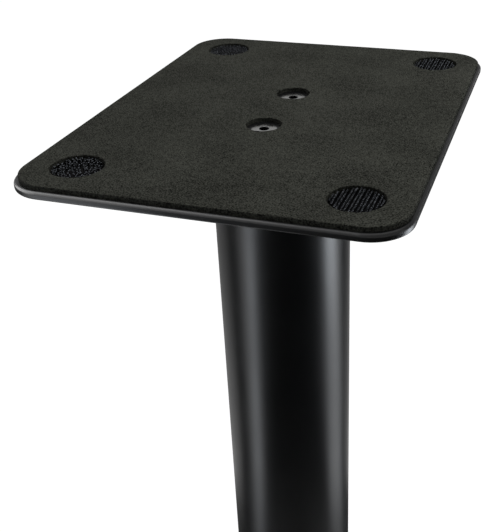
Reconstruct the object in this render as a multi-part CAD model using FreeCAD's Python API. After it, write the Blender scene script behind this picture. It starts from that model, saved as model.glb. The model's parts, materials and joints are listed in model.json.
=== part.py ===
import FreeCAD, Part

import math
import os

# A floor stand for one loudspeaker. A flat steel plate with a foam pad carries the speaker,
# a round steel column stands under its middle, and a heavier plate on four levelling feet
# stands on the floor. Lengths are in millimetres.
# X runs to the right, Y to the back and Z up. The origin is on the floor, below the middle.

# ---- Whole stand ----
STAND_HEIGHT = 711.0  # floor to the top of the pad, feet screwed right in

# ---- Top plate ----
TOP_WIDTH = 230.0
TOP_DEPTH = 300.0
TOP_THICKNESS = 5.0
TOP_CORNER_RADIUS = 24.0
TOP_EDGE_RADIUS = 2.0  # round the upper side
TOP_LOWER_EDGE_RADIUS = 1.5

# ---- Foam pad and its round windows ----
PAD_INSET = 2.0  # from the edge of the top plate
PAD_THICKNESS = 3.0
PAD_CORNER_RADIUS = 24.0
PAD_EDGE_RADIUS = 0.6
HOOK_WINDOW_DIAMETER = 31.5
HOOK_WINDOW_FROM_SIDE = 33.0  # centre to the plate's left or right edge
HOOK_WINDOW_FROM_END = 32.0  # centre to the plate's front or back edge
HOOK_DISC_GAP = 0.75  # all round, between a disc and its window
HOOK_DISC_RECESS = 0.7  # top of a disc below the top of the pad
SCREW_WINDOW_MARGIN = 3.4  # all round, between a screw head and its window

# ---- Column ----
COLUMN_DIAMETER = 94.0
COLUMN_WALL = 2.0
COLUMN_BLOCK_GAP = 0.05  # round the bridge and the bulkhead, where they are welded in
BRIDGE_WIDTH = 36.0
BRIDGE_THICKNESS = 6.0
BULKHEAD_THICKNESS = 6.0
SCREWS_FROM_COLUMN_BORE = 15.0  # centre of a screw to the inside of the column

# ---- Screws and nuts ----
SCREW_DIAMETER = 8.0
SCREW_HEAD_DIAMETER = 16.0
SCREW_HEAD_LAND = 0.4  # straight rim above the cone of the head
SCREW_SOCKET_WIDTH = 5.0  # across the flats
SCREW_SOCKET_DEPTH = 3.4
SCREW_SOCKET_CHAMFER = 0.35  # round the corners of the socket, at its mouth
SCREW_TIP_CHAMFER = 0.8
SCREW_PAST_NUT = 4.0
SCREW_HOLE_CLEARANCE = 0.5  # all round, in the plates that the screws only pass through
COUNTERSINK_CLEARANCE = 0.05
THREAD_CLEARANCE = 0.05  # all round, in a threaded hole
NUT_WIDTH = 13.0  # across the flats
HEXAGON_CHAMFER = 0.6  # off the corners of nuts and collars
WELD_NUT_HEIGHT = 6.5
LOCK_NUT_HEIGHT = 4.0
BASE_SCREW_COUNT = 4

# ---- Base plate ----
BASE_WIDTH = 300.0
BASE_DEPTH = 380.0
BASE_THICKNESS = 8.0
BASE_CORNER_RADIUS = 30.0
BASE_EDGE_RADIUS = 2.0

# ---- Levelling feet ----
FOOT_FROM_SIDE = 32.0  # centre to the base plate's left or right edge
FOOT_FROM_END = 32.0  # centre to the base plate's front or back edge
FOOT_TRAVEL = 8.0
SOLE_DIAMETER = 33.0
SOLE_THICKNESS = 2.5
SOLE_EDGE_RADIUS = 0.8
FOOT_PAD_DIAMETER = 34.0
FOOT_PAD_NECK_DIAMETER = 22.0
FOOT_PAD_HEIGHT = 12.0
FOOT_PAD_RIM_HEIGHT = 3.0
FOOT_PAD_EDGE_RADIUS = 1.0
FOOT_SOCKET_DEPTH = 6.0
STUD_DIAMETER = 8.0
STUD_SPIGOT_DIAMETER = 9.0  # the plain lower end, which turns in the foot
STUD_SPIGOT_CLEARANCE = 0.05  # all round, between the spigot and its socket
STUD_GROOVE_DEPTH = 0.5  # round the spigot, for the ridge in the foot that it snaps over
STUD_GROOVE_WIDTH = 1.6
STUD_GROOVE_FROM_TOP = 2.0  # below the top of the foot
STUD_COLLAR_WIDTH = 13.0  # across the flats
STUD_COLLAR_THICKNESS = 5.0
STUD_COLLAR_GAP = 0.3  # between the collar and the foot
STUD_SPARE_LENGTH = 1.0  # above the lock nut when the foot is screwed right out
STUD_SOCKET_WIDTH = 4.0  # across the flats
STUD_SOCKET_DEPTH = 4.0
STUD_TIP_CHAMFER = 0.8

CUT_PAST = 1.0  # how far the shape of a hole runs past the plate that it goes through

# ---- Heights, from the floor up ----
foot_pad_top = SOLE_THICKNESS + FOOT_PAD_HEIGHT
stud_collar_bottom = foot_pad_top + STUD_COLLAR_GAP
base_bottom = stud_collar_bottom + STUD_COLLAR_THICKNESS
base_top = base_bottom + BASE_THICKNESS
bulkhead_top = base_top + BULKHEAD_THICKNESS
top_plate_top = STAND_HEIGHT - PAD_THICKNESS
top_plate_bottom = top_plate_top - TOP_THICKNESS
bridge_bottom = top_plate_bottom - BRIDGE_THICKNESS

# ---- Sizes shared by pieces that fit each other ----
column_bore_radius = COLUMN_DIAMETER / 2 - COLUMN_WALL
screw_circle_radius = column_bore_radius - SCREWS_FROM_COLUMN_BORE
screw_hole_radius = SCREW_DIAMETER / 2 + SCREW_HOLE_CLEARANCE
nut_hole_radius = SCREW_DIAMETER / 2 + THREAD_CLEARANCE
stud_hole_radius = STUD_DIAMETER / 2 + THREAD_CLEARANCE

CORNERS = {
    "front_left": (-1, -1),
    "front_right": (1, -1),
    "rear_left": (-1, 1),
    "rear_right": (1, 1),
}
TOP_SCREW_PLACES = {
    "front": (0.0, -screw_circle_radius),
    "rear": (0.0, screw_circle_radius),
}


def vector(x, y, z):
    return FreeCAD.Vector(x, y, z)


def moved(shape, place, z=0.0):
    """A copy of a shape, moved by place = (x, y) and by z."""
    copy = shape.copy()
    copy.translate(vector(place[0], place[1], z))
    return copy


def group(shapes):
    """Separate solids that share one node."""
    return Part.makeCompound(shapes)


def cylinder(radius, height, z=0.0, place=(0.0, 0.0)):
    return Part.makeCylinder(radius, height, vector(place[0], place[1], z))


def turned(profile):
    """The solid that a closed outline of (radius, z) points sweeps round the Z axis."""
    points = [vector(radius, 0.0, z) for radius, z in profile]
    outline = Part.makePolygon(points + points[:1])
    return Part.Face(outline).revolve(vector(0, 0, 0), vector(0, 0, 1), 360.0)


def hexagon_corner_radius(width):
    return width / 2 / math.cos(math.radians(30))


def hexagon_prism(width, height, z=0.0):
    """An upright hexagonal bar, with width across its flats and two flats facing Y."""
    corner_radius = hexagon_corner_radius(width)
    corners = []
    for step in range(6):
        angle = math.radians(60 * step)
        corners.append(vector(corner_radius * math.cos(angle), corner_radius * math.sin(angle), z))
    outline = Part.makePolygon(corners + corners[:1])
    return Part.Face(outline).extrude(vector(0, 0, height))


def hexagon_block(width, height, z=0.0):
    """A hexagonal block with the corners of both its faces turned off, as on a nut."""
    corner_radius = hexagon_corner_radius(width)
    face_radius = corner_radius - HEXAGON_CHAMFER
    shoulder = HEXAGON_CHAMFER / 2
    envelope = turned(
        [
            (0.0, z),
            (face_radius, z),
            (corner_radius, z + shoulder),
            (corner_radius, z + height - shoulder),
            (face_radius, z + height),
            (0.0, z + height),
        ]
    )
    return hexagon_prism(width, height, z).common(envelope)


def level_edges(shape, z=None):
    """The edges that lie flat, at height z if it is given."""
    found = []
    for edge in shape.Edges:
        box = edge.BoundBox
        if box.ZLength < 1e-6 and (z is None or abs(box.ZMin - z) < 1e-6):
            found.append(edge)
    return found


def upright_edges(shape):
    return [edge for edge in shape.Edges if edge.BoundBox.XLength + edge.BoundBox.YLength < 1e-6]


def slab(width, depth, thickness, corner_radius, z):
    """A flat plate round the Z axis with rounded corners and its underside at height z."""
    block = Part.makeBox(width, depth, thickness, vector(-width / 2, -depth / 2, z))
    return block.makeFillet(corner_radius, upright_edges(block))


def corner_places(width, depth, from_side, from_end):
    """The four places at those distances from the edges of a plate, by the corner's name."""
    places = {}
    for corner, (side, end) in CORNERS.items():
        places[corner] = (side * (width / 2 - from_side), end * (depth / 2 - from_end))
    return places


hook_places = corner_places(TOP_WIDTH, TOP_DEPTH, HOOK_WINDOW_FROM_SIDE, HOOK_WINDOW_FROM_END)
foot_places = corner_places(BASE_WIDTH, BASE_DEPTH, FOOT_FROM_SIDE, FOOT_FROM_END)
base_screw_places = []
for step in range(BASE_SCREW_COUNT):
    turn = math.radians(360.0 * (step + 0.5) / BASE_SCREW_COUNT)
    base_screw_places.append(
        (screw_circle_radius * math.cos(turn), screw_circle_radius * math.sin(turn))
    )


def countersunk(head_radius, shank_radius, length):
    """A countersunk head on a plain shank, head up, with the head's face at z = 0."""
    return turned(
        [
            (0.0, 0.0),
            (head_radius, 0.0),
            (head_radius, -SCREW_HEAD_LAND),
            (shank_radius, -SCREW_HEAD_LAND - (head_radius - shank_radius)),
            (shank_radius, -length),
            (0.0, -length),
        ]
    )


def countersunk_screw(length):
    """A countersunk screw, head up, with a hexagonal socket in its face at z = 0."""
    screw = countersunk(SCREW_HEAD_DIAMETER / 2, SCREW_DIAMETER / 2, length)
    screw = screw.makeChamfer(SCREW_TIP_CHAMFER, level_edges(screw, -length))
    socket = hexagon_prism(SCREW_SOCKET_WIDTH, SCREW_SOCKET_DEPTH, -SCREW_SOCKET_DEPTH)
    flat_radius = SCREW_SOCKET_WIDTH / 2
    mouth_radius = hexagon_corner_radius(SCREW_SOCKET_WIDTH) + SCREW_SOCKET_CHAMFER
    mouth_depth = mouth_radius - flat_radius
    mouth = turned(
        [
            (0.0, 0.0),
            (mouth_radius, 0.0),
            (flat_radius, -mouth_depth),
            (0.0, -mouth_depth),
        ]
    )
    return screw.cut(socket).cut(mouth)


def countersunk_hole(plate_thickness):
    """What a countersunk hole takes out of a plate whose face is at z = 0."""
    head_radius = SCREW_HEAD_DIAMETER / 2 + COUNTERSINK_CLEARANCE
    return countersunk(head_radius, screw_hole_radius, plate_thickness + CUT_PAST)


def upside_down(shape):
    copy = shape.copy()
    copy.rotate(vector(0, 0, 0), vector(1, 0, 0), 180.0)
    return copy


def nut(height, hole_radius):
    """A hexagonal nut that stands on z = 0."""
    return hexagon_block(NUT_WIDTH, height).cut(cylinder(hole_radius, height))


# ---- Top ----
def make_top_plate():
    plate = slab(TOP_WIDTH, TOP_DEPTH, TOP_THICKNESS, TOP_CORNER_RADIUS, top_plate_bottom)
    plate = plate.makeFillet(TOP_EDGE_RADIUS, level_edges(plate, top_plate_top))
    plate = plate.makeFillet(TOP_LOWER_EDGE_RADIUS, level_edges(plate, top_plate_bottom))
    for place in TOP_SCREW_PLACES.values():
        plate = plate.cut(moved(countersunk_hole(TOP_THICKNESS), place, top_plate_top))
    return plate


def make_top_pad():
    width = TOP_WIDTH - 2 * PAD_INSET
    depth = TOP_DEPTH - 2 * PAD_INSET
    pad = slab(width, depth, PAD_THICKNESS, PAD_CORNER_RADIUS, top_plate_top)
    for place in hook_places.values():
        pad = pad.cut(cylinder(HOOK_WINDOW_DIAMETER / 2, PAD_THICKNESS, top_plate_top, place))
    screw_window_radius = SCREW_HEAD_DIAMETER / 2 + SCREW_WINDOW_MARGIN
    for place in TOP_SCREW_PLACES.values():
        pad = pad.cut(cylinder(screw_window_radius, PAD_THICKNESS, top_plate_top, place))
    return pad.makeFillet(PAD_EDGE_RADIUS, level_edges(pad, STAND_HEIGHT))


def make_hook_disc(corner):
    radius = HOOK_WINDOW_DIAMETER / 2 - HOOK_DISC_GAP
    return cylinder(radius, PAD_THICKNESS - HOOK_DISC_RECESS, top_plate_top, hook_places[corner])


def make_top_screw(end):
    length = TOP_THICKNESS + BRIDGE_THICKNESS + WELD_NUT_HEIGHT + SCREW_PAST_NUT
    return moved(countersunk_screw(length), TOP_SCREW_PLACES[end], top_plate_top)


def make_top_bridge():
    """A flat bar across the column's top end, rounded at its ends to fit the bore."""
    length = 2 * column_bore_radius
    corner = vector(-BRIDGE_WIDTH / 2, -length / 2, bridge_bottom)
    bar = Part.makeBox(BRIDGE_WIDTH, length, BRIDGE_THICKNESS, corner)
    fit = cylinder(column_bore_radius - COLUMN_BLOCK_GAP, BRIDGE_THICKNESS, bridge_bottom)
    bar = bar.common(fit)
    for place in TOP_SCREW_PLACES.values():
        bar = bar.cut(cylinder(screw_hole_radius, BRIDGE_THICKNESS, bridge_bottom, place))
    return bar


def make_top_weld_nuts():
    one = nut(WELD_NUT_HEIGHT, nut_hole_radius)
    height = bridge_bottom - WELD_NUT_HEIGHT
    return group([moved(one, place, height) for place in TOP_SCREW_PLACES.values()])


# ---- Column ----
def make_column_tube():
    height = top_plate_bottom - base_top
    outside = cylinder(COLUMN_DIAMETER / 2, height, base_top)
    return outside.cut(cylinder(column_bore_radius, height, base_top))


def make_bottom_bulkhead():
    """A disc in the column's lower end, on the base plate."""
    disc = cylinder(column_bore_radius - COLUMN_BLOCK_GAP, BULKHEAD_THICKNESS, base_top)
    for place in base_screw_places:
        disc = disc.cut(cylinder(screw_hole_radius, BULKHEAD_THICKNESS, base_top, place))
    return disc


def make_bottom_weld_nuts():
    one = nut(WELD_NUT_HEIGHT, nut_hole_radius)
    return group([moved(one, place, bulkhead_top) for place in base_screw_places])


# ---- Base ----
def make_base_plate():
    plate = slab(BASE_WIDTH, BASE_DEPTH, BASE_THICKNESS, BASE_CORNER_RADIUS, base_bottom)
    plate = plate.makeFillet(BASE_EDGE_RADIUS, level_edges(plate))
    hole_from_below = upside_down(countersunk_hole(BASE_THICKNESS))
    for place in base_screw_places:
        plate = plate.cut(moved(hole_from_below, place, base_bottom))
    for place in foot_places.values():
        plate = plate.cut(cylinder(stud_hole_radius, BASE_THICKNESS, base_bottom, place))
    return plate


def make_base_screws():
    length = BASE_THICKNESS + BULKHEAD_THICKNESS + WELD_NUT_HEIGHT + SCREW_PAST_NUT
    one = upside_down(countersunk_screw(length))
    return group([moved(one, place, base_bottom) for place in base_screw_places])


# ---- Levelling feet ----
def make_foot_lock_nuts():
    one = nut(LOCK_NUT_HEIGHT, stud_hole_radius)
    return group([moved(one, place, base_top) for place in foot_places.values()])


def spigot_shape(top, growth):
    """The stud's grooved lower end up to height top, or with some growth the hollow for it."""
    bottom = foot_pad_top - FOOT_SOCKET_DEPTH
    radius = STUD_SPIGOT_DIAMETER / 2 + growth
    groove_radius = radius - STUD_GROOVE_DEPTH
    groove_top = foot_pad_top - STUD_GROOVE_FROM_TOP - growth
    groove_bottom = foot_pad_top - STUD_GROOVE_FROM_TOP - STUD_GROOVE_WIDTH + growth
    return turned(
        [
            (0.0, bottom),
            (radius, bottom),
            (radius, groove_bottom),
            (groove_radius, groove_bottom),
            (groove_radius, groove_top),
            (radius, groove_top),
            (radius, top),
            (0.0, top),
        ]
    )


def make_foot_stud(corner):
    """A threaded stud with a hexagonal collar, and a plain spigot that stands in the foot."""
    stud_top = base_top + LOCK_NUT_HEIGHT + FOOT_TRAVEL + STUD_SPARE_LENGTH
    spigot = spigot_shape(stud_collar_bottom, 0.0)
    collar = hexagon_block(STUD_COLLAR_WIDTH, STUD_COLLAR_THICKNESS, stud_collar_bottom)
    shank = cylinder(STUD_DIAMETER / 2, stud_top - base_bottom, base_bottom)
    shank = shank.makeChamfer(STUD_TIP_CHAMFER, level_edges(shank, stud_top))
    socket = hexagon_prism(STUD_SOCKET_WIDTH, STUD_SOCKET_DEPTH, stud_top - STUD_SOCKET_DEPTH)
    stud = collar.fuse([spigot, shank]).cut(socket)
    return moved(stud.removeSplitter(), foot_places[corner])


def make_foot_pad(corner):
    """A moulded foot that tapers from a straight rim to a neck, with the spigot's socket."""
    rim_top = SOLE_THICKNESS + FOOT_PAD_RIM_HEIGHT
    foot = turned(
        [
            (0.0, SOLE_THICKNESS),
            (FOOT_PAD_DIAMETER / 2, SOLE_THICKNESS),
            (FOOT_PAD_DIAMETER / 2, rim_top),
            (FOOT_PAD_NECK_DIAMETER / 2, foot_pad_top),
            (0.0, foot_pad_top),
        ]
    )
    round_edges = level_edges(foot, rim_top) + level_edges(foot, foot_pad_top)
    foot = foot.makeFillet(FOOT_PAD_EDGE_RADIUS, round_edges)
    foot = foot.cut(spigot_shape(foot_pad_top + CUT_PAST, STUD_SPIGOT_CLEARANCE))
    return moved(foot, foot_places[corner])


def make_foot_sole(corner):
    sole = cylinder(SOLE_DIAMETER / 2, SOLE_THICKNESS)
    sole = sole.makeFillet(SOLE_EDGE_RADIUS, level_edges(sole, 0.0))
    return moved(sole, foot_places[corner])


def make_stand():
    """Every piece of the stand, by its name."""
    pieces = {
        "top_plate": make_top_plate(),
        "top_pad": make_top_pad(),
        "top_bridge": make_top_bridge(),
        "top_weld_nuts": make_top_weld_nuts(),
        "column_tube": make_column_tube(),
        "bottom_bulkhead": make_bottom_bulkhead(),
        "bottom_weld_nuts": make_bottom_weld_nuts(),
        "base_plate": make_base_plate(),
        "base_screws": make_base_screws(),
        "foot_lock_nuts": make_foot_lock_nuts(),
    }
    for end in TOP_SCREW_PLACES:
        pieces["top_screw_" + end] = make_top_screw(end)
    for corner in CORNERS:
        pieces["hook_disc_" + corner] = make_hook_disc(corner)
        pieces["foot_stud_" + corner] = make_foot_stud(corner)
        pieces["foot_pad_" + corner] = make_foot_pad(corner)
        pieces["foot_sole_" + corner] = make_foot_sole(corner)
    return pieces


os.makedirs("parts", exist_ok=True)
for name, shape in make_stand().items():
    shape.exportStep("parts/" + name + ".step")
    print(f"{name}: {len(shape.Solids)} solid(s), {shape.Volume / 1000:.2f} cm3")
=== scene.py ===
import json
import math
import random

import bmesh
import bpy
from mathutils import Matrix, Vector, geometry, noise


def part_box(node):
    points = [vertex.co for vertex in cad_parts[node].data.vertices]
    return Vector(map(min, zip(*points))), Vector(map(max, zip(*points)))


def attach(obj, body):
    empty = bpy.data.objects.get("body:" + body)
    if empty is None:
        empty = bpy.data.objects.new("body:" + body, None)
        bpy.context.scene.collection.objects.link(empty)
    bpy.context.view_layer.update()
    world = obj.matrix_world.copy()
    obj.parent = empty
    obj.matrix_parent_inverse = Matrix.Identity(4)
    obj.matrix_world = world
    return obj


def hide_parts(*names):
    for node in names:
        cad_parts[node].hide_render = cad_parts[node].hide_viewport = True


# The looks of a speaker stand and a small studio around it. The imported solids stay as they
# are and get their finishes here. The foam pad, the hook tape, the threaded studs and the
# rubber soles are modelled again in more detail, in the places of their solids.
# Lengths are in metres: X runs to the right, Y to the back and Z up from the floor.

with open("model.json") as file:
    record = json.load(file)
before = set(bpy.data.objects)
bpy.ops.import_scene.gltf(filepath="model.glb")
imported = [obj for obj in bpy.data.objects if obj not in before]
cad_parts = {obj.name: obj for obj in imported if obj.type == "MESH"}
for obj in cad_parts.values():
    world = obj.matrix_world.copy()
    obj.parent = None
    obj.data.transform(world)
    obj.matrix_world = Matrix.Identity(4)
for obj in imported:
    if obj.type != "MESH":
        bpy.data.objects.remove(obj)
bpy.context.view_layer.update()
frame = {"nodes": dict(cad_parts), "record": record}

MILLIMETRE = 0.001
ROUND_POINTS = 72  # round a turned piece or a window
CORNERS = ("front_left", "front_right", "rear_left", "rear_right")
STAND = "stand"

# ---- Camera ----
# Solved from the outline of the top plate in the 500 x 532 photograph. Its lens shift is kept
# small enough for the whole stand to fit into other views.
IMAGE_SIZE = (500, 532)
PRINCIPAL_POINT = (287.5, 225.3)  # pixels, from the top left
FOCAL_LENGTH = 878.8  # pixels
CAMERA_AZIMUTH = math.radians(18.943)
CAMERA_ELEVATION = math.radians(27.744)
CAMERA_ROLL = math.radians(-1.772)
CAMERA_DISTANCE = 0.65163
CAMERA_TARGET = Vector((-0.00696, 0.02971, 0.60785))
SENSOR_WIDTH = 36.0  # millimetres

# ---- Foam pad ----
PAD_CORNER_RADIUS = 24 * MILLIMETRE
PAD_EDGE_RADIUS = 0.6 * MILLIMETRE
PAD_WAIST = 0.12 * MILLIMETRE  # how far the cut side is drawn in at half height
PAD_SIDE_LEVELS = (0.25, 0.5, 0.7)  # shares of the side's height, with a row of points each
PAD_UNEVENNESS = 0.07 * MILLIMETRE
PAD_RIPPLE = 9 * MILLIMETRE  # size of the small unevenness
PAD_WAVE = 40 * MILLIMETRE  # size of the large unevenness
PAD_POINT_SPACING = 3 * MILLIMETRE
PAD_CORNER_STEPS = 14
PAD_EDGE_STEPS = 4
SCREW_WINDOW_MARGIN = 3.4 * MILLIMETRE
HOOK_WINDOW_MARGIN = 0.75 * MILLIMETRE

# ---- Hook tape ----
TAPE_THICKNESS = 0.5 * MILLIMETRE
TAPE_EDGE_CHAMFER = 0.1 * MILLIMETRE
HOOK_THREAD_RADIUS = 0.17 * MILLIMETRE
HOOK_BEND_RADIUS = 0.40 * MILLIMETRE
HOOK_PAIR_PITCH = 4.3 * MILLIMETRE  # from one pair of rows to the next
HOOK_LEG_OFFSET = 1.3 * MILLIMETRE  # from the middle of a pair to its legs
HOOK_PITCH = 1.3 * MILLIMETRE  # along a row
HOOK_STAGGER = 0.25  # of the pitch, from the middle of a pair to each of its rows
HOOK_HEIGHTS = (0.85, 1.0)  # shares of the full height, from the lowest to the highest
HOOK_JITTER = 1.1 * MILLIMETRE  # of fully ruffled hooks
HOOK_TWIST = 1.6  # of fully ruffled hooks, sideways for each step of the lean
HOOK_TIP_ANGLE = math.radians(-35)
HOOK_THREAD_SIDES = 5
HOOK_BEND_STEPS = 7
TAPES = {  # how the rows run, from the X axis, and how ruffled the hooks are, from 0 to 1
    "front_left": (math.radians(128), 0.75),
    "front_right": (math.radians(90), 0.15),
    "rear_left": (math.radians(35), 0.3),
    "rear_right": (math.radians(90), 0.25),
}

# ---- Studs, M8 coarse ----
THREAD_PITCH = 1.25 * MILLIMETRE
THREAD_DEPTH = 0.6 * MILLIMETRE
THREAD_ROWS = 8  # of points, along one pitch
THREAD_CREST = 0.12  # share of half a pitch that is flat at the top
THREAD_FLANK = 0.70  # share of half a pitch that slopes down to the root
STUD_RADIUS = 4 * MILLIMETRE
STUD_TIP_CHAMFER = 0.8 * MILLIMETRE
STUD_SOCKET_WIDTH = 4 * MILLIMETRE
STUD_SOCKET_DEPTH = 4 * MILLIMETRE
COLLAR_WIDTH = 13 * MILLIMETRE
COLLAR_THICKNESS = 5 * MILLIMETRE
COLLAR_CHAMFER = 0.6 * MILLIMETRE
COLLAR_CHAMFER_STEPS = 4
SPIGOT_RADIUS = 4.5 * MILLIMETRE
SPIGOT_GROOVE_DEPTH = 0.5 * MILLIMETRE
SPIGOT_GROOVE_WIDTH = 1.6 * MILLIMETRE
SPIGOT_GROOVE_FROM_COLLAR = 2.3 * MILLIMETRE

# ---- Rubber soles ----
SOLE_EDGE_RADIUS = 0.8 * MILLIMETRE
SOLE_GROOVE_DEPTH = 0.5 * MILLIMETRE
SOLE_GROOVE_WIDTH = 1.2 * MILLIMETRE
SOLE_GROOVE_PITCH = 3.4 * MILLIMETRE
SOLE_GROOVE_SLOPE = 0.2  # share of a groove's width that each of its sides takes
SOLE_DIMPLE_RADIUS = 0.4 * MILLIMETRE  # the flat point in the middle
SOLE_EDGE_STEPS = 5

# ---- Studio ----
FLOOR_RADIUS = 30.0
FLOOR_POINTS = 64  # round its edge
FLOOR_COLOUR = (0.8, 0.8, 0.8, 1)
ROOM_LIGHT = 0.3
FLOOR_OWN_WHITE = 0.6  # share of the floor's look that is plain white
FLOOR_NEAR = (0.6, 1.4)  # distance from the middle, and the strength of its own white there
FLOOR_FAR = (1.8, 1.54)  # further out, where the lamps add no light
LAMP_TARGET = Vector((0.0, 0.0, 0.7))  # the top plate
STRIP_COLOUR = (0.87, 0.93, 1.0)
SOFTBOX_PLACE = Vector((0.75, 0.35, 1.75))
SOFTBOX_SIDE = 1.1
SOFTBOX_RADIANCE = 5.2
STRIP_DISTANCE = 0.38
STRIP_HEIGHT = 0.65
STRIP_FOOT = 0.01  # above the floor
# Azimuths at the floor and at the top, then width and radiance of each part from the floor up
LEFT_STRIP = (
    math.radians(-45.5),
    math.radians(-31.5),
    ((0.10, 1.6), (0.10, 1.7), (0.10, 2.1), (0.10, 3.2), (0.10, 1.5)),
)
RIGHT_STRIP = (
    math.radians(114.5),
    math.radians(92),
    ((0.24, 0.6), (0.24, 0.75), (0.19, 1.5), (0.14, 5.8), (0.14, 5.8)),
)

# ---- Cards round the stand, which only reflections see ----
CARD_DISTANCE = 0.42
CARD_HEIGHT = 0.66
CARD_STEPS = 24
FLOOR_CARD_RADIUS = 0.25
FLOOR_CARD_GAP = 0.001  # above the floor
FAR_CARD_DISTANCE = 1.0
GREY_CARD_HEIGHT = 1.9
WINDOW_CARD_HEIGHT = 2.7
# Side views of a card, as (distance from the column's axis, height) points
WALL = ((CARD_DISTANCE, 0.0), (CARD_DISTANCE, CARD_HEIGHT))
GROUND = ((FLOOR_CARD_RADIUS, FLOOR_CARD_GAP), (CARD_DISTANCE, FLOOR_CARD_GAP))
HORIZON = ((FAR_CARD_DISTANCE, CARD_HEIGHT), (FAR_CARD_DISTANCE, GREY_CARD_HEIGHT))
WINDOW = ((FAR_CARD_DISTANCE, CARD_HEIGHT), (FAR_CARD_DISTANCE, WINDOW_CARD_HEIGHT))
# Azimuths of both ends in degrees, brightness at the floor and at the card height, side view
CARDS = {
    "front_card": (-31, 93, 0.0, 0.0, WALL),
    "right_card": (124, 149, 0.0, 0.0, WALL),
    "rear_card": (149, 274, 0.65, 0.12, WALL),
    "left_card": (274, 302, 0.0, 0.0, WALL),
    "floor_card": (130, 330, 0.0, 0.0, GROUND),
    "front_floor_card": (-30, 130, 0.15, 0.15, GROUND),
    "grey_card": (104, 178, 0.27, 0.27, HORIZON),
    "light_grey_card": (178, 262, 0.46, 0.46, HORIZON),
    "window_card": (-95, -46, 5.8, 5.8, WINDOW),
    "window_side_card": (-46, -31, 3.4, 3.4, WINDOW),
    "window_fade_card": (-31, -18, 1.2, 1.2, WINDOW),
    "front_upper_card": (-18, 104, 0.45, 0.45, WINDOW),
}


# ---- Small helpers ----
def middle(low, high):
    return (low + high) / 2


def new_piece(name, mesh, body, slot, material, *nodes):
    """An object for a finished mesh, riding on a body and standing for some nodes."""
    piece = bpy.data.objects.new(name, mesh)
    bpy.context.scene.collection.objects.link(piece)
    mesh.materials.append(material)
    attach(piece, body)
    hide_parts(*nodes)
    return piece


def finished_mesh(name, bm, sharp_angle=40):
    """The mesh of a bmesh, shaded smooth except across edges sharper than an angle."""
    bmesh.ops.remove_doubles(bm, verts=bm.verts, dist=1e-7)
    bmesh.ops.recalc_face_normals(bm, faces=bm.faces)
    mesh = bpy.data.meshes.new(name)
    bm.to_mesh(mesh)
    bm.free()
    mesh.shade_smooth()
    mesh.set_sharp_from_angle(angle=math.radians(sharp_angle))
    return mesh


def ring_vertices(bm, points):
    return [bm.verts.new(point) for point in points]


def join_rings(bm, first, second):
    """Quads between two closed rings with as many vertices each."""
    count = len(first)
    for i in range(count):
        j = (i + 1) % count
        bm.faces.new((first[i], first[j], second[j], second[i]))


def circle_points(centre, radius, z, count=ROUND_POINTS):
    return [on_circle(centre, radius, 2 * math.pi * i / count, z) for i in range(count)]


def on_circle(centre, radius, turn, z):
    return Vector((centre[0] + radius * math.cos(turn), centre[1] + radius * math.sin(turn), z))


def lathe(bm, centre, profile):
    """A solid turned round an upright axis from (radius, z) points, closed at both ends."""
    rings = [ring_vertices(bm, circle_points(centre, radius, z)) for radius, z in profile]
    for below, above in zip(rings, rings[1:]):
        join_rings(bm, below, above)
    bm.faces.new(rings[0])
    bm.faces.new(rings[-1])


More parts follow.
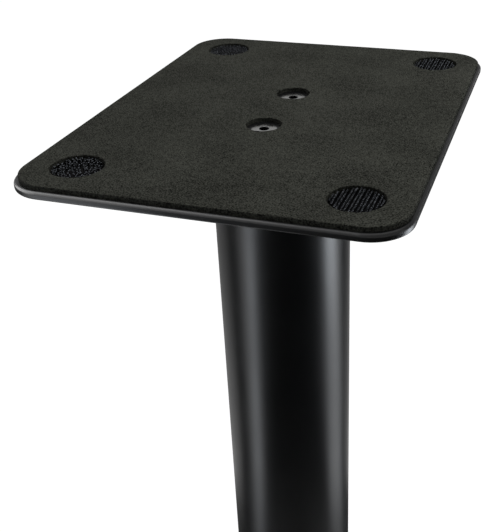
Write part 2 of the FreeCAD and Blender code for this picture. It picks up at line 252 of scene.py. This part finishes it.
# ---- Materials ----
class Surface:
    """A material built up from nodes, in metres on the object."""

    def __init__(self, name, **constants):
        self.material = bpy.data.materials.new(name)
        self.material.use_nodes = True
        self.tree = self.material.node_tree
        self.shader = self.tree.nodes["Principled BSDF"]
        self.coordinates = self.add("ShaderNodeTexCoord")
        self.place = self.coordinates.outputs["Object"]
        for socket, value in constants.items():
            self.shader.inputs[socket.replace("_", " ")].default_value = value

    def add(self, kind, **settings):
        node = self.tree.nodes.new(kind)
        for name, value in settings.items():
            setattr(node, name, value)
        return node

    def link(self, output, node_input):
        self.tree.links.new(output, node_input)

    def stretched(self, x, y, z):
        """Coordinates scaled along each axis."""
        node = self.add("ShaderNodeMapping")
        node.inputs["Scale"].default_value = (x, y, z)
        self.link(self.place, node.inputs["Vector"])
        return node.outputs["Vector"]

    def noise(self, size, detail=2.0, place=None):
        """Cloudy noise whose patches are about one size across."""
        node = self.add("ShaderNodeTexNoise")
        node.inputs["Scale"].default_value = 1 / size
        node.inputs["Detail"].default_value = detail
        self.link(place or self.place, node.inputs["Vector"])
        return node.outputs["Fac"]

    def cells(self, size, feature="F1"):
        """Distance to the middle of the nearest of many cells, about one size apart."""
        node = self.add("ShaderNodeTexVoronoi", feature=feature)
        node.inputs["Scale"].default_value = 1 / size
        self.link(self.place, node.inputs["Vector"])
        return node.outputs["Distance"]

    def part(self, output, axis):
        """One coordinate of the place on the object or of the normal there."""
        node = self.add("ShaderNodeSeparateXYZ")
        self.link(self.coordinates.outputs[output], node.inputs["Vector"])
        return node.outputs[axis]

    def recesses(self, reach):
        """0 deep in holes and corners, and 1 in the open."""
        node = self.add("ShaderNodeAmbientOcclusion")
        node.inputs["Distance"].default_value = reach
        return node.outputs["AO"]

    def span(self, value, low, high, start=0.3, end=0.7):
        """A value from low to high as the input goes from start to end."""
        node = self.add("ShaderNodeMapRange")
        self.link(value, node.inputs["Value"])
        settings = {"From Min": start, "From Max": end, "To Min": low, "To Max": high}
        for name, number in settings.items():
            node.inputs[name].default_value = number
        return node.outputs["Result"]

    def sum(self, first, second):
        return self.combined("ADD", first, second)

    def product(self, first, second):
        return self.combined("MULTIPLY", first, second)

    def combined(self, operation, first, second):
        node = self.add("ShaderNodeMath", operation=operation)
        self.link(first, node.inputs[0])
        self.link(second, node.inputs[1])
        return node.outputs["Value"]

    def scaled(self, value, factor):
        node = self.add("ShaderNodeMath", operation="MULTIPLY")
        self.link(value, node.inputs[0])
        node.inputs[1].default_value = factor
        return node.outputs["Value"]

    def colour_between(self, factor, dark, light):
        node = self.add("ShaderNodeMix", data_type="RGBA")
        self.link(factor, node.inputs["Factor"])
        node.inputs["A"].default_value = (*dark, 1)
        node.inputs["B"].default_value = (*light, 1)
        return node.outputs["Result"]

    def darkened(self, colour, share):
        """A colour times a value from 0 to 1."""
        node = self.add("ShaderNodeMix", data_type="RGBA")
        node.inputs["A"].default_value = (0, 0, 0, 1)
        self.link(share, node.inputs["Factor"])
        self.link(colour, node.inputs["B"])
        return node.outputs["Result"]

    def bump(self, height, depth, under=None):
        """A relief of a depth in metres, on top of another if one is given."""
        node = self.add("ShaderNodeBump")
        node.inputs["Distance"].default_value = depth
        self.link(height, node.inputs["Height"])
        if under:
            self.link(under, node.inputs["Normal"])
        return node.outputs["Normal"]

    def wear(self, colour, roughness, normal):
        """The material, with its colour, roughness and relief linked up."""
        self.link(colour, self.shader.inputs["Base Color"])
        self.link(roughness, self.shader.inputs["Roughness"])
        self.link(normal, self.shader.inputs["Normal"])
        return self.material


def powder_coat():
    """Satin black polyester powder: a soft orange peel, a fine grain and a few dull patches."""
    s = Surface("powder_coat")
    patches = s.noise(60 * MILLIMETRE, 3.0)
    peel = s.noise(1.8 * MILLIMETRE, 1.0)
    grain = s.noise(0.25 * MILLIMETRE, 1.0)
    tone = s.sum(s.scaled(patches, 0.6), s.scaled(grain, 0.4))
    colour = s.colour_between(tone, (0.0012, 0.0013, 0.0016), (0.0030, 0.0032, 0.0037))
    roughness = s.sum(s.span(patches, 0.31, 0.36), s.span(grain, -0.03, 0.03))
    relief = s.bump(grain, 0.000002, s.bump(peel, 0.000006))
    return s.wear(colour, roughness, relief)


def foam():
    """Dark closed-cell foam: a fine matt grain, tiny pores, a cloudy tone, and painted shade that
    darkens its cut sides.
    """
    s = Surface("foam", Specular_IOR_Level=0.02)
    clouds = s.noise(35 * MILLIMETRE, 3.0)
    mottle = s.noise(3.5 * MILLIMETRE, 3.0)
    grain = s.noise(0.9 * MILLIMETRE, 3.0)
    pores = s.cells(0.55 * MILLIMETRE)
    tone = s.sum(s.scaled(clouds, 0.12), s.sum(s.scaled(mottle, 0.18), s.scaled(grain, 0.7)))
    dark = (0.004, 0.0042, 0.0034)
    light = (0.0530, 0.0545, 0.0462)
    colour = s.colour_between(s.span(tone, 0.0, 1.0, 0.40, 0.60), dark, light)
    # Painted shade: faces that turn away from straight up, the cut sides, are darkened down to 0.62
    # of the colour.
    painted_side_shade = s.span(s.part("Normal", "Z"), 0.62, 1.0, 0.5, 0.95)
    roughness = s.span(grain, 0.86, 0.98)
    relief = s.bump(pores, 0.00006, s.bump(grain, 0.00010))
    return s.wear(s.darkened(colour, painted_side_shade), roughness, relief)


def hook_nylon():
    """Black nylon thread, slightly shiny, with painted highlights that lighten the tops of the
    hooks.
    """
    s = Surface("hook_nylon", Specular_IOR_Level=0.03)
    thread = s.noise(0.6 * MILLIMETRE, 2.0)
    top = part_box("hook_disc_front_left")[1].z
    # Painted highlight: the top 0.7 mm of each hook is lightened towards a pale blue grey, in
    # random patches, as if the crowns caught the light.
    highlight_height_mask = s.span(s.part("Object", "Z"), 0.0, 1.0, top - 0.7 * MILLIMETRE, top - 0.1 * MILLIMETRE)
    highlight_specks = s.span(s.noise(1.0 * MILLIMETRE, 1.0), 0.25, 1.0, 0.40, 0.60)
    painted_crown_highlight = s.product(highlight_height_mask, s.product(highlight_specks, s.span(thread, 0.3, 1.0)))
    colour = s.colour_between(painted_crown_highlight, (0.001, 0.0011, 0.0013), (0.330, 0.352, 0.389))
    roughness = s.span(thread, 0.35, 0.5)
    relief = s.bump(s.noise(0.12 * MILLIMETRE), 0.00001)
    return s.wear(colour, roughness, relief)


def zinc(name, shade_all_but_level_faces=False):
    """Plated steel: cloudy, finely scratched, and darkened with painted shade in sockets and
    threads.
    """
    s = Surface(name, Metallic=1.0)
    clouds = s.noise(4 * MILLIMETRE, 3.0)
    scratches = s.noise(0.5 * MILLIMETRE, 2.0, s.stretched(1.0, 0.12, 1.0))
    tone = s.sum(s.scaled(clouds, 0.7), s.scaled(scratches, 0.3))
    colour = s.colour_between(tone, (0.33, 0.33, 0.325), (0.52, 0.52, 0.51))
    # Painted shade: the colour goes to black in sockets, threads and other recesses, found by
    # ambient occlusion within 3 mm.
    unshaded_share = s.span(s.recesses(3 * MILLIMETRE), 0.0, 1.0, 0.5, 0.9)
    # Painted shade: with this option every face that is not level, such as socket walls and
    # chamfers, is painted black so that it shows no reflection.
    if shade_all_but_level_faces:
        upright = s.part("Normal", "Z")
        level = s.span(s.product(upright, upright), 0.0, 1.0, 0.8, 0.95)
        unshaded_share = s.product(unshaded_share, level)
    roughness = s.sum(s.span(clouds, 0.17, 0.26), s.span(scratches, -0.03, 0.03))
    relief = s.bump(scratches, 0.000004)
    return s.wear(s.darkened(colour, unshaded_share), roughness, relief)


def bare_steel():
    """Rolled steel with mill scale and streaks along the rolling direction."""
    s = Surface("bare_steel", Metallic=1.0)
    scale_marks = s.noise(9 * MILLIMETRE, 4.0)
    streaks = s.noise(1.2 * MILLIMETRE, 2.0, s.stretched(1.0, 0.08, 1.0))
    tone = s.sum(s.scaled(scale_marks, 0.6), s.scaled(streaks, 0.4))
    colour = s.colour_between(tone, (0.10, 0.098, 0.095), (0.26, 0.25, 0.24))
    roughness = s.span(scale_marks, 0.40, 0.62)
    relief = s.bump(streaks, 0.00001)
    return s.wear(colour, roughness, relief)


def moulded_nylon():
    """Black moulded nylon with a spark-eroded texture."""
    s = Surface("moulded_nylon")
    texture = s.noise(0.45 * MILLIMETRE, 2.0)
    flow = s.noise(14 * MILLIMETRE, 2.0)
    colour = s.colour_between(flow, (0.009, 0.009, 0.010), (0.016, 0.016, 0.017))
    roughness = s.sum(s.span(flow, 0.44, 0.52), s.span(texture, -0.04, 0.04))
    relief = s.bump(texture, 0.00003)
    return s.wear(colour, roughness, relief)


def sole_rubber():
    """Matt black rubber, a little dusty."""
    s = Surface("sole_rubber", Specular_IOR_Level=0.3)
    dust = s.noise(5 * MILLIMETRE, 4.0)
    grain = s.noise(0.4 * MILLIMETRE, 2.0)
    colour = s.colour_between(s.span(dust, 0.0, 1.0), (0.010, 0.010, 0.010), (0.024, 0.023, 0.022))
    roughness = s.sum(s.span(dust, 0.74, 0.88), s.span(grain, -0.04, 0.04))
    relief = s.bump(grain, 0.00004)
    return s.wear(colour, roughness, relief)


# ---- Foam pad ----
def rounded_rectangle(centre, half_width, half_depth, radius, step):
    """Points of a rounded rectangle, anticlockwise, each with its outward direction."""
    loop = []
    corners = ((1, 1, 0), (-1, 1, 90), (-1, -1, 180), (1, -1, 270))
    for side, end, start in corners:
        corner_x = centre[0] + side * (half_width - radius)
        corner_y = centre[1] + end * (half_depth - radius)
        corner = Vector((corner_x, corner_y))
        for i in range(PAD_CORNER_STEPS + 1):
            turn = math.radians(start + 90 * i / PAD_CORNER_STEPS)
            out = Vector((math.cos(turn), math.sin(turn)))
            loop.append((corner + radius * out, out))
        run = 2 * ((half_depth if start in (90, 270) else half_width) - radius)
        run_steps = max(1, round(run / step))
        along = Vector((-math.sin(turn), math.cos(turn)))
        for i in range(1, run_steps):
            loop.append((corner + radius * out + along * run * i / run_steps, out))
    return loop


def round_window(centre, radius):
    """Points of a round window, each with the direction out of the foam."""
    loop = []
    for i in range(ROUND_POINTS):
        turn = 2 * math.pi * i / ROUND_POINTS
        out = Vector((math.cos(turn), math.sin(turn)))
        loop.append((Vector((centre[0], centre[1])) + radius * out, -out))
    return loop


def pad_profile(bottom, top):
    """How a cut edge of the foam runs, as (distance drawn in, z) points from bottom to top."""
    height = top - bottom
    profile = [(0.0, bottom)]
    for share in PAD_SIDE_LEVELS:
        drawn_in = PAD_WAIST * math.sin(math.pi * share)
        profile.append((drawn_in, bottom + share * (height - PAD_EDGE_RADIUS)))
    for i in range(PAD_EDGE_STEPS + 1):
        turn = math.radians(90 * i / PAD_EDGE_STEPS)
        drawn_in = PAD_EDGE_RADIUS * (1 - math.cos(turn))
        profile.append((drawn_in, top - PAD_EDGE_RADIUS * (1 - math.sin(turn))))
    return profile


def inside(point, outline_half, centre, windows, margin):
    """True if a point of the foam's face keeps a margin from the outline and the windows."""
    x = abs(point.x - centre.x)
    y = abs(point.y - centre.y)
    half_width, half_depth = outline_half
    corner_x = x - (half_width - PAD_CORNER_RADIUS)
    corner_y = y - (half_depth - PAD_CORNER_RADIUS)
    if corner_x > 0 and corner_y > 0:
        if math.hypot(corner_x, corner_y) > PAD_CORNER_RADIUS - margin:
            return False
    elif x > half_width - margin or y > half_depth - margin:
        return False
    return all((point - window).length > radius + margin for window, radius in windows)


def fill_face(bm, rings, extra, keep, z):
    """Triangles over a flat face between rings of vertices, with extra points inside it."""
    vertices = [vertex for ring in rings for vertex in ring]
    edges = []
    start = 0
    for ring in rings:
        count = len(ring)
        edges += [(start + i, start + (i + 1) % count) for i in range(count)]
        start += count
    flat = [vertex.co.to_2d() for vertex in vertices] + extra
    vertices += [bm.verts.new((point.x, point.y, z)) for point in extra]
    points, _, faces, origins, _, _ = geometry.delaunay_2d_cdt(flat, edges, [], 1, 1e-7)
    for face in faces:
        centre = sum((points[i] for i in face), Vector((0.0, 0.0))) / len(face)
        if keep(centre):
            bm.faces.new([vertices[origins[i][0]] for i in face])


def foam_pad(material):
    low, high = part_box("top_pad")
    centre = middle(low, high).to_2d()
    half = ((high.x - low.x) / 2, (high.y - low.y) / 2)
    windows = []
    for corner in CORNERS:
        disc_low, disc_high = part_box("hook_disc_" + corner)
        radius = (disc_high.x - disc_low.x) / 2 + HOOK_WINDOW_MARGIN
        windows.append((middle(disc_low, disc_high).to_2d(), radius))
    for end in ("front", "rear"):
        screw_low, screw_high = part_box("top_screw_" + end)
        radius = (screw_high.x - screw_low.x) / 2 + SCREW_WINDOW_MARGIN
        windows.append((middle(screw_low, screw_high).to_2d(), radius))

    loops = [rounded_rectangle(centre, half[0], half[1], PAD_CORNER_RADIUS, PAD_POINT_SPACING)]
    loops += [round_window(place, radius) for place, radius in windows]
    bm = bmesh.new()
    first_rings = []
    last_rings = []
    for loop in loops:
        rings = []
        for drawn_in, z in pad_profile(low.z, high.z):
            rings.append(ring_vertices(bm, [(*(point - drawn_in * out), z) for point, out in loop]))
        for below, above in zip(rings, rings[1:]):
            join_rings(bm, below, above)
        first_rings.append(rings[0])
        last_rings.append(rings[-1])

    def in_foam(point):
        return inside(point, half, centre, windows, 0.0)

    extra = []
    columns = round(2 * half[0] / PAD_POINT_SPACING)
    rows = round(2 * half[1] / PAD_POINT_SPACING)
    for i in range(columns):
        for j in range(rows):
            shift = 0.5 * (j % 2)
            x = low.x + (i + 0.25 + shift) * PAD_POINT_SPACING
            y = low.y + (j + 0.5) * PAD_POINT_SPACING
            point = Vector((x, y))
            if inside(point, half, centre, windows, PAD_EDGE_RADIUS + 0.4 * PAD_POINT_SPACING):
                extra.append(point)
    fill_face(bm, last_rings, extra, in_foam, high.z)
    fill_face(bm, first_rings, [], in_foam, low.z)
    for vertex in bm.verts:
        if vertex.co.z > middle(low.z, high.z):
            ripple = noise.noise(vertex.co / PAD_RIPPLE)
            wave = noise.noise(vertex.co / PAD_WAVE)
            vertex.co.z += PAD_UNEVENNESS * (ripple + wave - 1) / 2
    pad = new_piece("foam_pad", finished_mesh("foam_pad", bm), STAND, "foam", material, "top_pad")


# ---- Hook tape ----
def hook_path(foot, lean, height):
    """The middle line of one hook: a straight leg, then a bend over to its tip."""
    leg_top = height - HOOK_BEND_RADIUS - HOOK_THREAD_RADIUS
    points = [foot, foot + Vector((0, 0, 0.5 * leg_top))]
    for i in range(HOOK_BEND_STEPS + 1):
        turn = math.pi + (HOOK_TIP_ANGLE - math.pi) * i / HOOK_BEND_STEPS
        across = HOOK_BEND_RADIUS * (1 + math.cos(turn))
        up = leg_top + HOOK_BEND_RADIUS * math.sin(turn)
        points.append(foot + lean * across + Vector((0, 0, up)))
    return points


def thread_along(bm, points, side):
    """A thin closed thread along points that lie in one upright plane, square to side."""
    rings = []
    for i, point in enumerate(points):
        ahead = points[min(i + 1, len(points) - 1)] - points[max(i - 1, 0)]
        normal = side.cross(ahead).normalized()
        ring = []
        for j in range(HOOK_THREAD_SIDES):
            turn = 2 * math.pi * j / HOOK_THREAD_SIDES
            offset = math.cos(turn) * side + math.sin(turn) * normal
            ring.append(point + HOOK_THREAD_RADIUS * offset)
        rings.append(ring_vertices(bm, ring))
    for below, above in zip(rings, rings[1:]):
        join_rings(bm, below, above)
    bm.faces.new(rings[0])
    bm.faces.new(rings[-1])


def hook_places(radius):
    """Each hook of a patch, as (side of its pair of rows, place across them, place along them)."""
    pairs = math.ceil(radius / HOOK_PAIR_PITCH)
    hooks = math.ceil(radius / HOOK_PITCH)
    for pair in range(-pairs, pairs + 1):
        for side in (-1, 1):
            for hook in range(-hooks, hooks + 1):
                offset = pair * HOOK_PAIR_PITCH + side * HOOK_LEG_OFFSET
                place = (hook + HOOK_STAGGER * side) * HOOK_PITCH
                yield side, offset, place


def hook_disc(corner, material):
    """A round patch of woven tape with pairs of rows of hooks that lean towards each other."""
    node = "hook_disc_" + corner
    low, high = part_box(node)
    centre = middle(low, high)
    radius = (high.x - low.x) / 2
    tape_top = low.z + TAPE_THICKNESS
    hook_height = high.z - tape_top
    bm = bmesh.new()
    profile = [
        (radius, low.z),
        (radius, tape_top - TAPE_EDGE_CHAMFER),
        (radius - TAPE_EDGE_CHAMFER, tape_top),
    ]
    lathe(bm, centre, profile)

    picker = random.Random(node)
    direction, ruffle = TAPES[corner]
    jitter = HOOK_JITTER * ruffle
    along = Vector((math.cos(direction), math.sin(direction), 0))
    across = Vector((-along.y, along.x, 0))
    for side, offset, place in hook_places(radius):
        offset += picker.uniform(-jitter, jitter)
        place += picker.uniform(-jitter, jitter)
        twist = HOOK_TWIST * ruffle * picker.uniform(-1, 1)
        height = hook_height * picker.uniform(*HOOK_HEIGHTS)
        foot = Vector((centre.x, centre.y, 0)) + across * offset + along * place
        lean = (-side * across + twist * along).normalized()
        tip = foot + lean * 2 * HOOK_BEND_RADIUS
        reach = max((foot - centre).to_2d().length, (tip - centre).to_2d().length)
        if reach + HOOK_THREAD_RADIUS > radius:
            continue
        foot.z = tape_top - HOOK_THREAD_RADIUS
        height += HOOK_THREAD_RADIUS
        thread_along(bm, hook_path(foot, lean, height), lean.cross(Vector((0, 0, 1))))
    mesh = finished_mesh(node, bm, 60)
    new_piece("hook_tape_" + corner, mesh, STAND, "hook_tape", material, node)


# ---- Studs ----
def thread_radius(row):
    """The radius of the thread at a row of its pitch, from one root to the next."""
    share = abs(2 * (row % THREAD_ROWS) / THREAD_ROWS - 1)
    flank = min(1.0, max(0.0, (share - THREAD_CREST) / THREAD_FLANK))
    return STUD_RADIUS - THREAD_DEPTH * flank


def threaded_side(bm, centre, bottom, top):
    """The side of a threaded rod. Each row of points climbs one pitch in a turn."""
    row_height = THREAD_PITCH / THREAD_ROWS
    rows = round((top - bottom) / row_height) + THREAD_ROWS + 2
    root = STUD_RADIUS - THREAD_DEPTH
    grid = []
    for row in range(rows):
        line = []
        for i in range(ROUND_POINTS + 1):
            turn = 2 * math.pi * i / ROUND_POINTS
            z = bottom + (row - THREAD_ROWS) * row_height + THREAD_PITCH * i / ROUND_POINTS
            z = min(max(z, bottom), top)
            ends = min(root + z - bottom, STUD_RADIUS - STUD_TIP_CHAMFER + top - z)
            radius = min(thread_radius(row), ends)
            line.append(bm.verts.new(on_circle(centre, radius, turn, z)))
        grid.append(line)
    for row in range(rows - 1):
        for i in range(ROUND_POINTS):
            corners = (grid[row][i], grid[row][i + 1], grid[row + 1][i + 1], grid[row + 1][i])
            bm.faces.new(corners)


def hexagon_ring(bm, centre, width, limit, z):
    """Points round a hexagon with two flats facing Y, its corners cut to a limit radius."""
    points = []
    for i in range(ROUND_POINTS):
        turn = 2 * math.pi * i / ROUND_POINTS
        from_flat = turn % math.radians(60) - math.radians(30)
        radius = min(width / 2 / math.cos(from_flat), limit)
        points.append(on_circle(centre, radius, turn, z))
    return ring_vertices(bm, points)


def socketed_end(bm, centre, radius, z):
    """The flat end of a rod with a hexagonal socket in it."""
    rim = ring_vertices(bm, circle_points(centre, radius, z))
    mouth = hexagon_ring(bm, centre, STUD_SOCKET_WIDTH, radius, z)
    floor = hexagon_ring(bm, centre, STUD_SOCKET_WIDTH, radius, z - STUD_SOCKET_DEPTH)
    join_rings(bm, rim, mouth)
    join_rings(bm, mouth, floor)
    bm.faces.new(floor)


def hexagonal_collar(bm, centre, bottom, top):
    """A hexagonal block with the corners of both its faces turned off."""
    corner_radius = COLLAR_WIDTH / 2 / math.cos(math.radians(30))
    shoulder = COLLAR_CHAMFER / 2
    steps = COLLAR_CHAMFER_STEPS
    levels = [(bottom + shoulder * i / steps, i / steps) for i in range(steps + 1)]
    levels += [(top - shoulder * i / steps, i / steps) for i in range(steps, -1, -1)]
    rings = []
    for z, share in levels:
        limit = corner_radius - COLLAR_CHAMFER * (1 - share)
        rings.append(hexagon_ring(bm, centre, COLLAR_WIDTH, limit, z))
    for below, above in zip(rings, rings[1:]):
        join_rings(bm, below, above)
    bm.faces.new(rings[0])
    bm.faces.new(rings[-1])


def threaded_stud(corner, material):
    node = "foot_stud_" + corner
    low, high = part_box(node)
    centre = middle(low, high)
    collar_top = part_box("base_plate")[0].z
    collar_bottom = collar_top - COLLAR_THICKNESS
    groove_top = collar_bottom - SPIGOT_GROOVE_FROM_COLLAR
    groove_bottom = groove_top - SPIGOT_GROOVE_WIDTH
    groove_radius = SPIGOT_RADIUS - SPIGOT_GROOVE_DEPTH
    bm = bmesh.new()
    threaded_side(bm, centre, collar_top, high.z)
    socketed_end(bm, centre, STUD_RADIUS - STUD_TIP_CHAMFER, high.z)
    root = circle_points(centre, STUD_RADIUS - THREAD_DEPTH, collar_top)
    bm.faces.new(ring_vertices(bm, root))
    hexagonal_collar(bm, centre, collar_bottom, collar_top)
    profile = [
        (SPIGOT_RADIUS, low.z),
        (SPIGOT_RADIUS, groove_bottom),
        (groove_radius, groove_bottom),
        (groove_radius, groove_top),
        (SPIGOT_RADIUS, groove_top),
        (SPIGOT_RADIUS, collar_bottom),
    ]
    lathe(bm, centre, profile)
    mesh = finished_mesh(node, bm, 28)
    new_piece("threaded_stud_" + corner, mesh, "stud_" + corner, "zinc_plate", material, node)


# ---- Rubber soles ----
def rubber_sole(corner, material):
    """A rubber disc with a rounded lower edge and rings of grooves in its underside."""
    node = "foot_sole_" + corner
    low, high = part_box(node)
    centre = middle(low, high)
    radius = (high.x - low.x) / 2
    flat_radius = radius - SOLE_EDGE_RADIUS
    profile = [(SOLE_DIMPLE_RADIUS, low.z)]
    groove = SOLE_GROOVE_PITCH
    while groove + SOLE_GROOVE_WIDTH < flat_radius:
        inner = groove - SOLE_GROOVE_WIDTH / 2
        outer = groove + SOLE_GROOVE_WIDTH / 2
        slope = SOLE_GROOVE_SLOPE * SOLE_GROOVE_WIDTH
        profile.append((inner, low.z))
        profile.append((inner + slope, low.z + SOLE_GROOVE_DEPTH))
        profile.append((outer - slope, low.z + SOLE_GROOVE_DEPTH))
        profile.append((outer, low.z))
        groove += SOLE_GROOVE_PITCH
    for i in range(SOLE_EDGE_STEPS + 1):
        turn = math.radians(90 * i / SOLE_EDGE_STEPS)
        out = flat_radius + SOLE_EDGE_RADIUS * math.sin(turn)
        profile.append((out, low.z + SOLE_EDGE_RADIUS * (1 - math.cos(turn))))
    profile.append((radius, high.z))
    bm = bmesh.new()
    lathe(bm, centre, profile)
    mesh = finished_mesh(node, bm, 35)
    new_piece("rubber_sole_" + corner, mesh, "foot_" + corner, "sole_rubber", material, node)


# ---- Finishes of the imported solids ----
def dress_nodes(finishes):
    """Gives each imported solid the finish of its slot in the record."""
    for part in frame["record"]["subparts"]:
        node = frame["nodes"][part["node"]]
        for held in node.material_slots:
            held.material = finishes[part["material_slot"]]


def paint_shade_on_screws(material):
    """Gives the screws the zinc plating with painted shade: black in their sockets and on every
    face but the open level faces of their heads.
    """
    for name in ("top_screw_front", "top_screw_rear", "base_screws"):
        for held in frame["nodes"][name].material_slots:
            held.material = material


# ---- Studio ----
def sees_background(tree):
    """1 for camera, glossy and transmission rays, and 0 for the light on the object."""
    path = tree.nodes.new("ShaderNodeLightPath")
    total = path.outputs["Is Camera Ray"]
    for ray in ("Is Glossy Ray", "Is Transmission Ray"):
        node = tree.nodes.new("ShaderNodeMath")
        node.operation = "MAXIMUM"
        tree.links.new(total, node.inputs[0])
        tree.links.new(path.outputs[ray], node.inputs[1])
        total = node.outputs["Value"]
    return total


def make_room():
    """A white room that lights the object softly."""
    world = bpy.data.worlds.new("room")
    bpy.context.scene.world = world
    world.use_nodes = True
    tree = world.node_tree
    background = tree.nodes["Background"]
    background.inputs["Color"].default_value = (1, 1, 1, 1)
    strength = tree.nodes.new("ShaderNodeMapRange")
    strength.inputs["To Min"].default_value = ROOM_LIGHT
    strength.inputs["To Max"].default_value = 1.0
    tree.links.new(sees_background(tree), strength.inputs["Value"])
    tree.links.new(strength.outputs["Result"], background.inputs["Strength"])


def make_floor():
    """A pale floor. Part of its white is its own, so that it stays white with soft shadows."""
    s = Surface("floor", Base_Color=FLOOR_COLOUR, Roughness=0.9, Specular_IOR_Level=0.0)
    distance = s.add("ShaderNodeVectorMath", operation="LENGTH")
    s.link(s.place, distance.inputs[0])
    (near, near_strength), (far, far_strength) = FLOOR_NEAR, FLOOR_FAR
    strength = s.span(distance.outputs["Value"], near_strength, far_strength, near, far)
    white = s.add("ShaderNodeEmission")
    s.link(strength, white.inputs["Strength"])
    mix = s.add("ShaderNodeMixShader")
    s.link(s.scaled(sees_background(s.tree), FLOOR_OWN_WHITE), mix.inputs["Fac"])
    s.link(s.shader.outputs["BSDF"], mix.inputs[1])
    s.link(white.outputs["Emission"], mix.inputs[2])
    s.link(mix.outputs["Shader"], s.tree.nodes["Material Output"].inputs["Surface"])
    bm = bmesh.new()
    bm.faces.new(ring_vertices(bm, circle_points((0, 0), FLOOR_RADIUS, 0.0, FLOOR_POINTS)))
    floor = bpy.data.objects.new("floor", finished_mesh("floor", bm))
    floor.data.materials.append(s.material)
    bpy.context.scene.collection.objects.link(floor)


def toward(azimuth):
    """The level direction at an azimuth: 0 is the front and 90 the right."""
    return Vector((math.sin(azimuth), -math.cos(azimuth), 0))


def make_lamp(name, place, back, along, width, height, radiance, colour):
    """A rectangular lamp that the camera doesn't see, its height along a direction."""
    lamp = bpy.data.lights.new(name, "AREA")
    lamp.shape = "RECTANGLE"
    lamp.size = width
    lamp.size_y = height
    lamp.energy = math.pi * radiance * width * height
    lamp.color = colour
    holder = bpy.data.objects.new(name, lamp)
    right = along.cross(back).normalized()
    back = right.cross(along).normalized()
    turned = Matrix((right, along.normalized(), back)).transposed().to_4x4()
    holder.matrix_world = Matrix.Translation(place) @ turned
    holder.visible_camera = False
    bpy.context.scene.collection.objects.link(holder)
    return holder


def make_softbox():
    """A large white lamp above the right side, out of the reflections, for the top plate."""
    back = SOFTBOX_PLACE - LAMP_TARGET
    along = back.cross(Vector((0, 0, 1)).cross(back))
    side = SOFTBOX_SIDE
    lamp = make_lamp("softbox", SOFTBOX_PLACE, back, along, side, side, SOFTBOX_RADIANCE, (1, 1, 1))
    lamp.visible_glossy = False


def make_strip(name, low_azimuth, high_azimuth, parts):
    """A tall lamp beside the column, in parts, that leans from one azimuth to another."""
    low = toward(low_azimuth) * STRIP_DISTANCE + Vector((0, 0, STRIP_FOOT))
    high = toward(high_azimuth) * STRIP_DISTANCE + Vector((0, 0, STRIP_FOOT + STRIP_HEIGHT))
    along = high - low
    count = len(parts)
    for i, (width, radiance) in enumerate(parts):
        place = low + along * (i + 0.5) / count
        back = Vector((place.x, place.y, 0))
        length = along.length / count
        make_lamp(f"{name}_{i}", place, back, along, width, length, radiance, STRIP_COLOUR)


def make_card(name, start, end, low_shade, high_shade, side_view):
    """A curved card that only reflections see, with one brightness below and one above."""
    s = Surface(name)
    shade = s.add("ShaderNodeEmission")
    strength = s.span(s.part("Object", "Z"), low_shade, high_shade, 0.0, CARD_HEIGHT)
    s.link(strength, shade.inputs["Strength"])
    s.link(shade.outputs["Emission"], s.tree.nodes["Material Output"].inputs["Surface"])
    bm = bmesh.new()
    rows = []
    for i in range(CARD_STEPS + 1):
        out = toward(math.radians(start + (end - start) * i / CARD_STEPS))
        points = [out * radius + Vector((0, 0, z)) for radius, z in side_view]
        rows.append(ring_vertices(bm, points))
    for before, after in zip(rows, rows[1:]):
        bm.faces.new((before[0], after[0], after[1], before[1]))
    card = bpy.data.objects.new(name, finished_mesh(name, bm))
    card.data.materials.append(s.material)
    bpy.context.scene.collection.objects.link(card)
    for ray in ("camera", "diffuse", "transmission", "shadow"):
        setattr(card, "visible_" + ray, False)


def make_camera():
    """The photograph's camera: it looks at a target from a distance, rolled a little."""
    cos_elevation = math.cos(CAMERA_ELEVATION)
    back = toward(CAMERA_AZIMUTH) * cos_elevation + Vector((0, 0, math.sin(CAMERA_ELEVATION)))
    level_right = Vector((0, 0, 1)).cross(back).normalized()
    level_up = back.cross(level_right)
    right = level_right * math.cos(CAMERA_ROLL) + level_up * math.sin(CAMERA_ROLL)
    up = back.cross(right)
    camera = bpy.data.cameras.new("camera")
    long_side = max(IMAGE_SIZE)
    camera.sensor_width = SENSOR_WIDTH
    camera.lens = FOCAL_LENGTH * SENSOR_WIDTH / long_side
    camera.shift_x = (IMAGE_SIZE[0] / 2 - PRINCIPAL_POINT[0]) / long_side
    camera.shift_y = (PRINCIPAL_POINT[1] - IMAGE_SIZE[1] / 2) / long_side
    camera.clip_start = 0.01
    holder = bpy.data.objects.new("camera", camera)
    turned = Matrix((right, up, back)).transposed().to_4x4()
    holder.matrix_world = Matrix.Translation(CAMERA_TARGET + back * CAMERA_DISTANCE) @ turned
    bpy.context.scene.collection.objects.link(holder)
    bpy.context.scene.camera = holder


# ---- The scene ----
make_camera()
finishes = {
    "powder_coat": powder_coat(),
    "foam": foam(),
    "hook_tape": hook_nylon(),
    "zinc_plate": zinc("zinc"),
    "plain_steel": bare_steel(),
    "foot_plastic": moulded_nylon(),
    "sole_rubber": sole_rubber(),
}
dress_nodes(finishes)
paint_shade_on_screws(zinc("screw_zinc", shade_all_but_level_faces=True))
foam_pad(finishes["foam"])
for corner in CORNERS:
    hook_disc(corner, finishes["hook_tape"])
    threaded_stud(corner, finishes["zinc_plate"])
    rubber_sole(corner, finishes["sole_rubber"])

make_room()
make_floor()
make_softbox()
make_strip("left_strip", *LEFT_STRIP)
make_strip("right_strip", *RIGHT_STRIP)
for name, card in CARDS.items():
    make_card(name, *card)
bpy.context.scene.view_settings.view_transform = "Standard"
